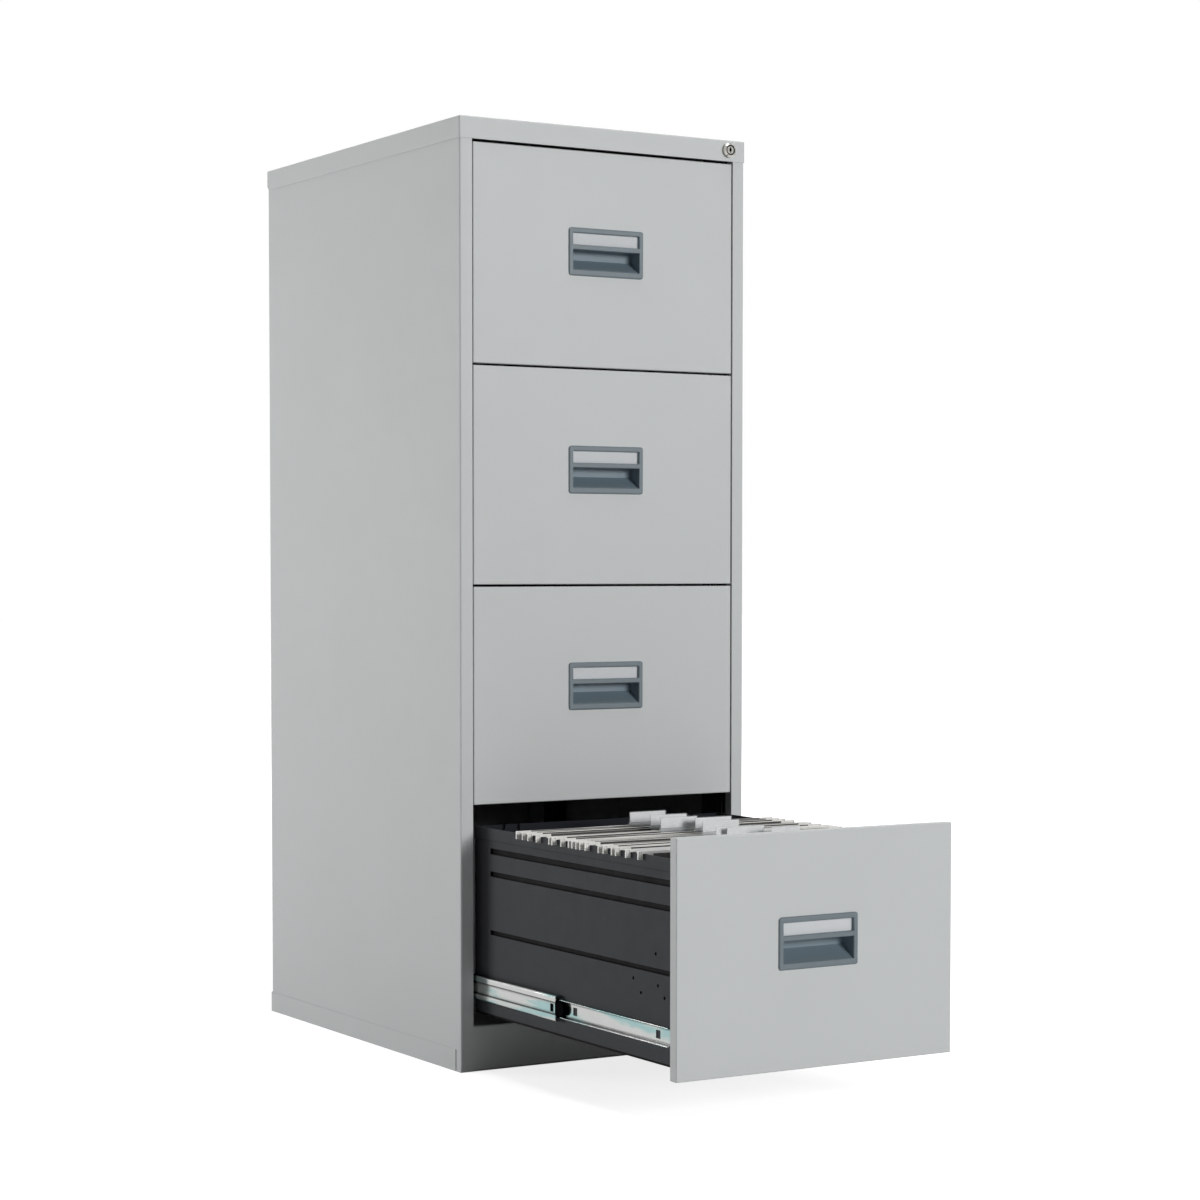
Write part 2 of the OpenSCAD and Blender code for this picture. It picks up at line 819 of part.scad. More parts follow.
// Moulded handle: plate with a boxed label window over a deep finger grip
module handle(n) {
    z = handle_z(n);
    pocket_half = mouth_w / 2 + handle_wall;
    back = grip_depth + handle_wall;
    foot = frame_bottom - handle_wall;
    window = from(window_foot, 0, window_h);
    color(moulding)
        translate([0, at(0), z])
            difference() {
                union() {
                    translate([0, -handle_proud, 0])
                        rounded_panel(handle_w, handle_h, handle_proud, edge_r, handle_r);
                    along_x(-pocket_half, 2 * pocket_half)
                        polygon([[-eps / 2, foot], [handle_wall, foot], [back, foot + grip_rise],
                            [back, pocket_top + handle_wall], [-eps / 2, pocket_top + handle_wall]]);
                    block(about(0, label_half), [-eps / 2, bar_rear],
                        [window_foot - card_edge - handle_wall, label_top]);
                }
                along_x(-mouth_w / 2, mouth_w)
                    polygon([[-handle_proud - eps, frame_bottom], [0, frame_bottom],
                        [grip_depth, frame_bottom + grip_rise], [grip_depth, pocket_top],
                        [bar_rear, pocket_top], [bar_rear, grip_top],
                        [-handle_proud - eps, grip_top]]);
                face_opening(frame_bottom, grip_top, 0);
                face_opening(window[0], window[1], card_face);
                block(about(0, mouth_w / 2 + card_edge), [card_face - card_play, card_rear],
                    [window[0] - card_edge, window[1] + card_edge]);
            }
}

module label_card(n) {
    reach = mouth_w / 2 + card_edge - card_play;
    color("#d5d8da")
        block([-reach, reach], [at(card_face), at(card_rear)],
            from(handle_z(n) + window_foot, card_play - card_edge, window_h + card_edge - card_play));
}

// Slides: profiles for the right slide

module cabinet_profile() {
    plate([slide_w - member_t, slide_w], [-cabinet_half, cabinet_half]);
    upper_and_lower() {
        plate([outer_row_u, slide_w], [cabinet_half - member_t, cabinet_half]);
        translate([outer_row_u, outer_row_v])
            quarter_ring(curl_r, member_t, -1, 1);
    }
}

// Web set in between two rounded lips, with a race above and below each flange
module middle_profile() {
    plate([middle_web_u, middle_web_u + member_t], [-web_half, web_half]);
    upper_and_lower() {
        plate([middle_web_u, lip_u], [web_half - member_t, web_half]);
        plate([lip_u - member_t, lip_u], [web_half - member_t, middle_half - lip_r]);
        translate([lip_u - lip_r, middle_half - lip_r])
            quarter_ring(lip_r, member_t, 1, 1);
        plate([inner_row_u - inner_ball_d / 2, lip_u - lip_r], [middle_half - member_t, middle_half]);
    }
}

module drawer_member_profile() {
    plate([0, member_t], [-drawer_member_half, drawer_member_half]);
    upper_and_lower() {
        plate([0, drawer_lip_u - member_t / 2], [drawer_member_half - member_t, drawer_member_half]);
        translate([drawer_lip_u - member_t / 2, drawer_member_half - member_t / 2])
            circle(d = member_t);
    }
}

// Places a right slide's piece and its mirror image at drawer n
module slide_pair(n, shift) {
    both_sides()
        translate([drawer_half, at(0) - shift, slide_z(n)])
            children();
}

module cabinet_members(n) {
    color(zinc)
        slide_pair(n, 0)
            along_y(slide_start, slide_len)
                cabinet_profile();
}

// At the front end the web stops short between the lips, and a stop window follows
module middle_members(n) {
    short = 3;
    window_at = 6.5;
    window = [8.5, 10.5];
    web_reach = web_half - member_t;
    color(zinc)
        slide_pair(n, opened(n) / 2)
            difference() {
                along_y(slide_start, slide_len)
                    middle_profile();
                block([middle_web_u - eps, lip_u + eps], from(slide_start, -eps, short),
                    about(0, web_reach));
                block([middle_web_u - eps, lip_u + eps], from(slide_start + window_at, 0, window[0]),
                    about(0, window[1] / 2));
            }
}

module drawer_members(n) {
    slots = floor((member_len - first_slot) / slot_pitch);
    color(zinc)
        slide_pair(n, opened(n))
            difference() {
                along_y(member_start, member_len)
                    drawer_member_profile();
                for (i = [0 : slots])
                    translate([0, member_start + first_slot + i * slot_pitch, -slot_h / 2])
                        cube([4 * member_t, slot_w, slot_h]);
            }
}

// Puts a child at each ball of a cage, above and below
module at_balls(start, len, u, v, d) {
    inset = d + cage_hold;
    pitch = (len - 2 * inset) / (row_balls - 1);
    for (s = [-1, 1], i = [0 : row_balls - 1])
        translate([u, start + inset + i * pitch, s * v])
            children();
}

// Thin channel with a round notch for each ball, and its balls
module cage(start, len, u, v, d, web, t) {
    socket_d = d + 2 * ball_play;
    difference() {
        along_y(start, len) {
            plate(web, [-v - t / 2, v + t / 2]);
            upper_and_lower()
                plate([u - cage_hold, web[1]], [v - t / 2, v + t / 2]);
        }
        at_balls(start, len, u, v, d)
            cylinder(d = socket_d, h = socket_d, center = true);
    }
    at_balls(start, len, u, v, d)
        sphere(d = d);
}

module outer_cages(n) {
    color("silver")
        slide_pair(n, opened(n) / 4)
            cage(outer_cage_start, outer_cage_len, outer_row_u, outer_row_v, outer_ball_d,
                [lip_u + run_gap, lip_u + run_gap + cage_t], cage_t);
}

// Plastic cage with a round-nosed tongue that shows in front of the middle member
module inner_cages(n) {
    web = [inner_cage_u, inner_cage_u + inner_cage_t];
    nose = drawer_member_half - 2 * member_t;
    color("#1c1d1f")
        slide_pair(n, opened(n) * 3 / 4) {
            cage(inner_cage_start, inner_cage_len, inner_row_u, inner_row_v, inner_ball_d,
                web, inner_cage_t);
            translate([web[0], inner_cage_start, 0])
                rotate([0, 90, 0])
                    linear_extrude(inner_cage_t)
                        intersection() {
                            translate([0, nose - tongue_len])
                                circle(nose);
                            plate([-nose, nose], [-tongue_len, eps]);
                        }
            block(web, from(inner_cage_start, nose - tongue_len, eps), about(0, nose));
        }
}

// Hanging files of the open drawer

// Flat bar across the drawer whose hooked ends sit astride the rims
module file_bar(d, rim) {
    reach = drawer_half + hem_t + hook_play + hook_w;
    y = about(at(d - travel), file_bar_t / 2);
    difference() {
        union() {
            block([-reach, reach], y, from(rim, 0, file_bar_h));
            both_sides()
                for (x = [reach, reach - hook_w - hook_gap])
                    block([x - hook_w, x], y, from(rim, -hook_drop, eps));
        }
        both_sides()
            for (face = y)
                block([reach - hook_w + hook_rim, reach - hook_rim], about(face, hook_sink),
                    [rim - hook_drop + hook_rim, rim + file_bar_h - hook_rim]);
    }
}

module file_bars() {
    color("#d8d6cc")
        for (f = files, d = f)
            file_bar(d, rim_z(open_drawer));
}

// Folded sheet that hangs from its two bars and meets in one fold
module file_leaf(front, rear, head, fold) {
    y0 = at(front - travel);
    y1 = at(rear - travel);
    mid = (y0 + y1) / 2;
    along_x(-file_w / 2, file_w)
        polygon([[y0 - leaf_t / 2, head], [mid - leaf_t, fold], [mid + leaf_t, fold],
            [y1 + leaf_t / 2, head], [y1 - leaf_t / 2, head], [mid, fold + 3 * leaf_t],
            [y0 + leaf_t / 2, head]]);
}

module file_leaves() {
    n = open_drawer;
    fold = body_z(n) + 2 * sheet_t + file_clear;
    color("#b7a98a")
        for (f = files)
            file_leaf(f[0], f[1], rim_z(n), fold);
}

// Side of a tab's profile: upright beside the bar, then leaning in to the upper edge
function tab_side(out) = let (foot = file_bar_t / 2 + tab_play + out, head = tab_top / 2 - tab_t + out)
    [[foot, -tab_grip], [foot, 0], [head, tab_h - tab_t + out]];

// Blank holders, open below, that ride on a bar of their file
module index_tabs() {
    foot = rim_z(open_drawer) + file_bar_h;
    outer = tab_side(tab_t);
    inner = tab_side(0);
    half = concat([for (i = [0 : len(outer) - 1]) outer[i]], [[0, tab_h], [0, tab_h - tab_t]],
        [for (i = [len(inner) - 1 : -1 : 0]) inner[i]]);
    color("#eceeee")
        for (t = tabs)
            translate([0, at(files[t[0]][t[1]] - travel), foot])
                along_x(t[2] * tab_step - tab_w / 2, tab_w)
                    for (side = [0, 1])
                        mirror([side, 0])
                            polygon(half);
}

// Drawing

module drawer_piece(n, piece) {
    if (piece == "front") drawer_front(n);
    if (piece == "handle") handle(n);
    if (piece == "label_card") label_card(n);
    if (piece == "left_side") drawer_left_side(n);
    if (piece == "right_side") drawer_right_side(n);
    if (piece == "pan") drawer_pan(n);
}

module slide_piece(n, piece) {
    if (piece == "cabinet_members") cabinet_members(n);
    if (piece == "middle_members") middle_members(n);
    if (piece == "drawer_members") drawer_members(n);
    if (piece == "outer_cages") outer_cages(n);
    if (piece == "inner_cages") inner_cages(n);
}

base_pan();
left_side_panel();
right_side_panel();
back_panel();
top_cover();
plinth();
top_rail();
left_uprights();
right_uprights();
lock_housing();
lock_plug();
lock_cam();
lock_bar();
for (n = [1 : drawers], piece = drawer_pieces)
    translate([0, front_inset - opened(n), 0])
            drawer_piece(n, piece);
for (n = [1 : drawers], piece = slide_pieces)
    slide_piece(n, piece);
file_bars();
file_leaves();
index_tabs();
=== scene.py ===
"""Four-drawer steel filing cabinet: finishes, small details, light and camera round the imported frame."""
import json
import math

import bmesh
import bpy
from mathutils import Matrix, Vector


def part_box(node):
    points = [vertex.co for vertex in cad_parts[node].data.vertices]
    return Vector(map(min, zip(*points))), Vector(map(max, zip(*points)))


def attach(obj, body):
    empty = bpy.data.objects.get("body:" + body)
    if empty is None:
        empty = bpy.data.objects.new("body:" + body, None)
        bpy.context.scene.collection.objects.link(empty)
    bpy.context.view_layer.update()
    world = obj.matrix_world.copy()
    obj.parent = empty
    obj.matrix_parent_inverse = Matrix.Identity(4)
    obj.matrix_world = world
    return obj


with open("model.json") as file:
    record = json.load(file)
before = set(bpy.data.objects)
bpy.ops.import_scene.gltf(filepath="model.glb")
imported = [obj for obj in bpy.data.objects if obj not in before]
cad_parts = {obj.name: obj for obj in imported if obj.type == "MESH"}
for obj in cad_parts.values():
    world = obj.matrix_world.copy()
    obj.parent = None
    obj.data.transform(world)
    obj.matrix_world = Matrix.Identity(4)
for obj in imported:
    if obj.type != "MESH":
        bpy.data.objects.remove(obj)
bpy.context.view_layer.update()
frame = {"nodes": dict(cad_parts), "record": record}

# Camera, found from the straight edges of the cabinet: image in pixels, sensor in mm, place in metres
IMAGE_PX = 1200
FOCAL_PX = 2759.4
CENTRE_PX = (579.6, 693.2)
SENSOR_MM = 36
CAMERA_AT = (-2.0179, -3.6084, 0.6899)
CAMERA_YAW = math.radians(30.911)
CAMERA_PITCH = math.radians(-2.596)

# Colours, as linear values
STEEL_GREY = (0.505, 0.522, 0.523)
DRAWER_GREY = (0.060, 0.0625, 0.0675)
# The pans are the drawers' grey darkened as painted shade
PAN_SHADED_GREY = (0.018, 0.020, 0.0245)
# Painted shade for the beds of the grooves and the lower edges of the drawer sides
GROOVE_SHADE_GREY = (0.009, 0.009, 0.010)
LOWER_EDGE_SHADE = (0.002, 0.002, 0.002)
FRAME_GREY = (0.0125, 0.0155, 0.0185)
ZINC_GREY = (0.41, 0.43, 0.415)
ZINC_TEAL = (0.25, 0.37, 0.37)
ZINC_ROSE = (0.43, 0.425, 0.425)
HANDLE_BLUE = (0.117, 0.149, 0.166)
# The hollows of the handles are painted a lighter blue than their frames, as painted light
HANDLE_HOLLOW_LIGHT = (0.165, 0.226, 0.272)
CARD_GREY = (0.59, 0.605, 0.62)
NICKEL = (0.42, 0.412, 0.385)
BALL_STEEL = (0.60, 0.61, 0.62)
CAGE_BLACK = (0.005, 0.005, 0.006)
HOOK_WHITE = (0.80, 0.79, 0.76)
# Painted light: the bars of the front file are white
FRONT_LIT_WHITE = (0.95, 0.95, 0.93)
BAR_STEEL = (0.84, 0.83, 0.79)
# Card folded round the lower part of a bar, darker than the leaves as painted shade
FOLD_SHADE_BROWN = (0.030, 0.028, 0.025)
MANILA = (0.115, 0.112, 0.105)
TAB_CLEAR = (0.70, 0.72, 0.73)
PAPER_WHITE = (0.90, 0.90, 0.91)

# Side of a drawer, in metres: hem outside it, sheet, depth of a groove, between which depths under the
# sheet painted shade darkens the groove's bed, and height of the folded lower edge, on which a shadow line is
# painted
HEM_T = 0.0008
SHEET_T = 0.001
GROOVE_DEPTH = 0.003
BED_FROM = 0.0002
BED_FULL = 0.001
FOLD_H = 0.0028

# Slides and lock, in metres: half the height of the middle member's web, width of the painted shade in the
# crease beside it, radii of the keyway, the plug and the ring of painted shade round it, depth of the plug's
# bevel, and how much of the ring's painted shade the plug's face has
WEB_HALF = 0.0088
CREASE_W = 0.0012
KEYWAY_R = 0.0045
PLUG_R = 0.0060
SHADE_RING_R = 0.0076
PLUG_BEVEL = 0.0007
PLUG_SHADE = 0.3

# Hanging files, in metres: where the hooks start beside the middle, bright upper edge of a bar, front file,
# whose bars are painted white as painted light.
# The last two are added to the noise of the bars as painted light at the front and painted shade at the back
# of the drawer
HOOK_FROM = 0.185
BAR_EDGE = 0.0006
FRONT_FILE = 0.040
FRONT_PAINTED_LIGHT = 0.12
BACK_PAINTED_SHADE = -0.03

# Paper slips in the index tabs, in metres: thickness, bow, margin, height of the lower edge,
# and how far the slip of the front tab has slid in. Then the pieces of a slip along its length
SLIP_T = 0.0002
SLIP_BOW = 0.00012
SLIP_MARGIN = 0.0010
SLIP_RISE = 0.0064
SLIP_SLID = 0.013
SLIP_STEPS = 12

# Index tabs: how much the plastic hides below the slip and over it, and how soon it clears, in metres
FROST_BELOW = 0.45
FROST_OVER = 0.12
FROST_EDGE = 0.001

# Floor: its grey, half its width, how white it looks near the object, and between which distances it
# turns wholly white, in metres
FLOOR_GREY = (0.6, 0.6, 0.6)
FLOOR_HALF = 30
FLOOR_GLOW = 0.8
FLOOR_NEAR = 0.6
FLOOR_FAR = 2.5

# Light: strength of the world, and soft boxes by place, target and size, in metres, and power, in watts
WORLD_LIGHT = 0.08
SOFT_BOXES = {
    "key": ((1.8, -7.4, 2.2), (0, -0.31, 0.65), (2.4, 1.8), 352),
    "left": ((-5.0, 4.0, 1.1), (-0.23, 0.1, 0.65), (3.0, 2.0), 222),
    "right": ((5.0, 2.8, 1.8), (0.23, 0.1, 0.65), (3.0, 2.6), 120),
    "top": ((0, -0.3, 4.4), (0, -0.3, 0), (2.0, 2.0), 80),
}

# Between which values most of a noise lies, rays that test how open a spot is, and how near points of a
# mesh are the same, in metres
NOISE_LOW = 0.3
NOISE_HIGH = 0.7
OPENNESS_RAYS = 8
SAME_POINT = 0.00001


# Node helpers


def new_material(name):
    """A material with nodes, its tree and its main shader."""
    material = bpy.data.materials.new(name)
    material.use_nodes = True
    tree = material.node_tree
    return material, tree, tree.nodes["Principled BSDF"]


def place_of(tree):
    """Where a point lies on its own piece, in metres."""
    return tree.nodes.new("ShaderNodeTexCoord").outputs["Object"]


def axes_of(tree):
    """The three coordinates of a point on its own piece."""
    split = tree.nodes.new("ShaderNodeSeparateXYZ")
    tree.links.new(place_of(tree), split.inputs["Vector"])
    return [split.outputs[axis] for axis in "XYZ"]


def stretched(tree, scale):
    """The place of a point, squeezed or stretched along the axes."""
    mapping = tree.nodes.new("ShaderNodeMapping")
    mapping.inputs["Scale"].default_value = scale
    tree.links.new(place_of(tree), mapping.inputs["Vector"])
    return mapping.outputs["Vector"]


def noise(tree, scale, detail=2.0, vector=None):
    """Noise with about scale blotches per metre."""
    node = tree.nodes.new("ShaderNodeTexNoise")
    node.inputs["Scale"].default_value = scale
    node.inputs["Detail"].default_value = detail
    tree.links.new(vector or place_of(tree), node.inputs["Vector"])
    return node.outputs["Fac"]


def rescale(tree, value, start, end, low, high):
    """Goes from low to high as the value goes from start to end, and stays there outside."""
    node = tree.nodes.new("ShaderNodeMapRange")
    for name, number in (("From Min", start), ("From Max", end), ("To Min", low), ("To Max", high)):
        node.inputs[name].default_value = number
    tree.links.new(value, node.inputs["Value"])
    return node.outputs["Result"]


def spread(tree, value, low, high):
    """Maps the middle of a noise to the range from low to high."""
    return rescale(tree, value, NOISE_LOW, NOISE_HIGH, low, high)


def ramp(tree, value, *stops):
    """Colours along a value. Each stop is a place from 0 to 1 and a colour."""
    node = tree.nodes.new("ShaderNodeValToRGB")
    elements = node.color_ramp.elements
    while len(elements) < len(stops):
        elements.new(0.5)
    for element, (position, colour) in zip(elements, stops):
        element.position = position
        element.color = (*colour, 1)
    tree.links.new(value, node.inputs["Fac"])
    return node.outputs["Color"]


def shade(colour, factor):
    """The colour, made brighter or darker by a factor."""
    return tuple(min(1, channel * factor) for channel in colour)


def math_node(tree, operation, first, second=0.0):
    """One sum. Each value is a number or the output of another node."""
    node = tree.nodes.new("ShaderNodeMath")
    node.operation = operation
    for socket, value in zip(node.inputs, (first, second)):
        if isinstance(value, (int, float)):
            socket.default_value = value
        else:
            tree.links.new(value, socket)
    return node.outputs["Value"]


def blend(tree, factor, first, second):
    """Goes from the first colour to the second as factor goes from 0 to 1.

    Inputs 6 and 7 and output 2 are the ones for colours.
    """
    node = tree.nodes.new("ShaderNodeMix")
    node.data_type = "RGBA"
    tree.links.new(factor, node.inputs["Factor"])
    for socket, value in zip((node.inputs[6], node.inputs[7]), (first, second)):
        if isinstance(value, tuple):
            socket.default_value = (*value, 1)
        else:
            tree.links.new(value, socket)
    return node.outputs[2]


def painted_light_in_hollows(tree, colour, reach, power, painted_hollow_tone=(0.0, 0.0, 0.0)):
    """Painted light in hollows: the colour turns to the hollow tone, black unless another is given, in a
    piece's own hollows less than reach metres wide.
    """
    openness = tree.nodes.new("ShaderNodeAmbientOcclusion")
    openness.samples = OPENNESS_RAYS
    openness.only_local = True
    openness.inputs["Distance"].default_value = reach
    factor = math_node(tree, "POWER", openness.outputs["AO"], power)
    return blend(tree, factor, painted_hollow_tone, colour)


def mottled(tree, colour, amount, scale):
    """A colour that wanders a little round the one given."""
    blotches = noise(tree, scale, detail=4)
    darker, brighter = shade(colour, 1 - amount), shade(colour, 1 + amount)
    return ramp(tree, blotches, (NOISE_LOW, darker), (NOISE_HIGH, brighter))


def paint(tree, shader, colour):
    """Gives the shader its colour."""
    tree.links.new(colour, shader.inputs["Base Color"])


def rough(tree, shader, between, scale):
    """Roughness that wanders between two values."""
    tree.links.new(spread(tree, noise(tree, scale), *between), shader.inputs["Roughness"])


def bump(tree, shader, height, depth):
    """Raises the surface by up to depth metres where height is 1."""
    node = tree.nodes.new("ShaderNodeBump")
    node.inputs["Strength"].default_value = 1
    node.inputs["Distance"].default_value = depth
    tree.links.new(height, node.inputs["Height"])
    tree.links.new(node.outputs["Normal"], shader.inputs["Normal"])


# Finishes


def powder_coat(name, colour, roughness, gloss, reach=0, power=0, grooves=False):
    """Baked powder paint with a fine orange-peel surface, with painted shade in hollows where a reach is
    given, and in the beds of grooves and on the lower edges of drawer sides where asked.
    """
    material, tree, shader = new_material(name)
    shader.inputs["Specular IOR Level"].default_value = gloss
    tint = mottled(tree, colour, amount=0.015, scale=5)
    if grooves:
        tint = blend(tree, groove_shade_mask(tree), tint, GROOVE_SHADE_GREY)
        tint = blend(tree, lower_edge_shade_mask(tree), tint, LOWER_EDGE_SHADE)
    if reach:
        tint = painted_light_in_hollows(tree, tint, reach, power)
    paint(tree, shader, tint)
    rough(tree, shader, roughness, scale=40)
    bump(tree, shader, noise(tree, scale=650, detail=1), depth=0.00005)
    return material


def groove_shade_mask(tree):
    """Where shade is painted: 1 on the bed of a groove in a drawer's side, 0 on the flat of the side."""
    outside = -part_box("drawer_4_left_side")[0][0] - HEM_T
    x, _, _ = axes_of(tree)
    depth = math_node(tree, "SUBTRACT", outside, math_node(tree, "ABSOLUTE", x))
    painted_shade = rescale(tree, depth, SHEET_T + BED_FROM, SHEET_T + BED_FULL, 0, 1)
    outer_face = math_node(tree, "LESS_THAN", depth, GROOVE_DEPTH + SHEET_T / 2)
    return math_node(tree, "MULTIPLY", painted_shade, outer_face)


def lower_edge_shade_mask(tree):
    """Where a shadow line is painted: 1 on the folded lower edge of any drawer's side, 0 above it."""
    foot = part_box("drawer_4_left_side")[0][2]
    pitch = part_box("drawer_3_left_side")[0][2] - foot
    _, _, z = axes_of(tree)
    above = math_node(tree, "SUBTRACT", z, foot - FOLD_H / 2)
    return math_node(tree, "LESS_THAN", math_node(tree, "FLOORED_MODULO", above, pitch), 1.5 * FOLD_H)


def crease_shade_mask(tree):
    """Where shade is painted: 1 in the two creases between the web and the lips of any slide's middle member,
    0 elsewhere.
    """
    low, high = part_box("slide_4_middle_members")
    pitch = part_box("slide_3_middle_members")[0][2] - low[2]
    _, _, z = axes_of(tree)
    above = math_node(tree, "SUBTRACT", z, (low[2] + high[2] - pitch) / 2)
    height = math_node(tree, "SUBTRACT", math_node(tree, "FLOORED_MODULO", above, pitch), pitch / 2)
    off = math_node(tree, "SUBTRACT", math_node(tree, "ABSOLUTE", height), WEB_HALF - CREASE_W / 2)
    return math_node(tree, "LESS_THAN", math_node(tree, "ABSOLUTE", off), CREASE_W / 2)


def zinc_plate(name, creases=False):
    """Rolled zinc plate with a blue-green passivation tint and fine lines along the slide, with painted shade
    in its hollows and, where asked, in the creases.
    """
    material, tree, shader = new_material(name)
    clouds = noise(tree, 1, detail=3, vector=stretched(tree, scale=(18, 9, 60)))
    tint = ramp(tree, clouds, (0.43, ZINC_TEAL), (0.53, ZINC_GREY), (0.63, ZINC_ROSE))
    if creases:
        tint = blend(tree, crease_shade_mask(tree), tint, shade(ZINC_GREY, 0.15))
    paint(tree, shader, painted_light_in_hollows(tree, tint, reach=0.004, power=4))
    shader.inputs["Metallic"].default_value = 1
    rough(tree, shader, (0.12, 0.2), scale=30)
    lines = noise(tree, 1, detail=2, vector=stretched(tree, scale=(2500, 25, 2500)))
    bump(tree, shader, lines, depth=0.00001)
    return material


def bright_metal(name, colour, roughness, reach, power, painted_shade=None):
    """Polished or plated metal with faint wear in its gloss, with painted shade in hollows and where
    painted_shade gives 1.
    """
    material, tree, shader = new_material(name)
    tint = mottled(tree, colour, amount=0.04, scale=60)
    if painted_shade:
        tint = blend(tree, painted_shade(tree), tint, shade(colour, 0.12))
    paint(tree, shader, painted_light_in_hollows(tree, tint, reach, power))
    shader.inputs["Metallic"].default_value = 1
    rough(tree, shader, roughness, scale=300)
    bump(tree, shader, noise(tree, scale=1500), depth=0.000008)
    return material


def plug_shade_mask(tree):
    """Where shade is painted: 1 on the ring round the lock plug and inside its keyway, less on its face, and
    0 elsewhere.
    """
    low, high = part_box("lock_housing")
    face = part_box("lock_plug")[0][1]
    x, y, z = axes_of(tree)
    across = math_node(tree, "SUBTRACT", x, (low[0] + high[0]) / 2)
    up = math_node(tree, "SUBTRACT", z, (low[2] + high[2]) / 2)
    squares = [math_node(tree, "POWER", math_node(tree, "ABSOLUTE", side), 2) for side in (across, up)]
    radius = math_node(tree, "SQRT", math_node(tree, "ADD", *squares))
    ring = math_node(tree, "MULTIPLY", math_node(tree, "GREATER_THAN", radius, PLUG_R),
                     math_node(tree, "LESS_THAN", radius, SHADE_RING_R))
    keyway = math_node(tree, "MULTIPLY", math_node(tree, "LESS_THAN", radius, KEYWAY_R),
                       math_node(tree, "GREATER_THAN", y, face + PLUG_BEVEL))
    on_plug = math_node(tree, "MULTIPLY", math_node(tree, "LESS_THAN", radius, PLUG_R), PLUG_SHADE)
    return math_node(tree, "MAXIMUM", on_plug, math_node(tree, "MAXIMUM", ring, keyway))


def moulded_plastic(name, colour, painted_hollow_tone, roughness, gloss, grain):
    """Moulded plastic with a fine spark-eroded grain, with painted shade in the hollows of the cages and
    painted light, a lighter blue, in the hollows of the handles.
    """
    material, tree, shader = new_material(name)
    shader.inputs["Specular IOR Level"].default_value = gloss
    tint = mottled(tree, colour, amount=0.03, scale=30)
    paint(tree, shader, painted_light_in_hollows(tree, tint, reach=0.050, power=1, painted_hollow_tone=painted_hollow_tone))
    rough(tree, shader, roughness, scale=200)
    bump(tree, shader, noise(tree, scale=1800, detail=1), depth=grain)
    return material


def card_board(name, colour, reach=0):
    """Uncoated card with short fibres, with painted shade in hollows where a reach is given."""
    material, tree, shader = new_material(name)
    fibres = noise(tree, 1, detail=4, vector=stretched(tree, scale=(500, 500, 1800)))
    tint = ramp(tree, fibres, (NOISE_LOW, shade(colour, 0.94)), (NOISE_HIGH, shade(colour, 1.05)))
    if reach:
        tint = painted_light_in_hollows(tree, tint, reach, power=1)
    paint(tree, shader, tint)
    shader.inputs["Roughness"].default_value = 0.85
    bump(tree, shader, fibres, depth=0.00003)
    return material


def file_bar_finish(name):
    """Bars with a bright upper edge of bare steel over card folded round them, painted dark as painted shade;
    lighter towards the front and darker at the back as painted light and shade. Hooks are white, and the bars
    of the front file white as painted light.
    """
    material, tree, shader = new_material(name)
    low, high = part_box("file_bars")
    x, y, z = axes_of(tree)
    is_hook = math_node(tree, "GREATER_THAN", math_node(tree, "ABSOLUTE", x), HOOK_FROM)
    is_front = math_node(tree, "LESS_THAN", y, low[1] + FRONT_FILE)
    is_edge = math_node(tree, "GREATER_THAN", z, high[2] - BAR_EDGE)
    streaks = noise(tree, 1, detail=2, vector=stretched(tree, scale=(5, 70, 200)))
    bareness_and_light = math_node(tree, "ADD", streaks, rescale(tree, y, low[1], high[1], FRONT_PAINTED_LIGHT, BACK_PAINTED_SHADE))
    steel = ramp(tree, bareness_and_light, (0.42, shade(BAR_STEEL, 0.25)), (0.60, shade(BAR_STEEL, 1.18)))
    bar = blend(tree, is_edge, FOLD_SHADE_BROWN, steel)
    hooked = blend(tree, is_hook, bar, HOOK_WHITE)
    tint = blend(tree, is_front, hooked, FRONT_LIT_WHITE)
    paint(tree, shader, painted_light_in_hollows(tree, tint, reach=0.004, power=1.1))
    rough(tree, shader, (0.35, 0.5), scale=80)
    bump(tree, shader, streaks, depth=0.00002)
    return material


def tab_finish(name):
    """Frosted clear plastic through which the slip shows, cloudier below the slip."""
    material, tree, shader = new_material(name)
    paint(tree, shader, mottled(tree, TAB_CLEAR, amount=0.03, scale=40))
    _, _, z = axes_of(tree)
    slip_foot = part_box("index_tabs")[0][2] + SLIP_RISE
    frost = rescale(tree, z, slip_foot - FROST_EDGE, slip_foot, FROST_BELOW, FROST_OVER)
    haze = spread(tree, noise(tree, scale=90, detail=3), 0.9, 1.1)
    tree.links.new(math_node(tree, "MULTIPLY", frost, haze), shader.inputs["Alpha"])
    rough(tree, shader, (0.12, 0.2), scale=60)
    return material


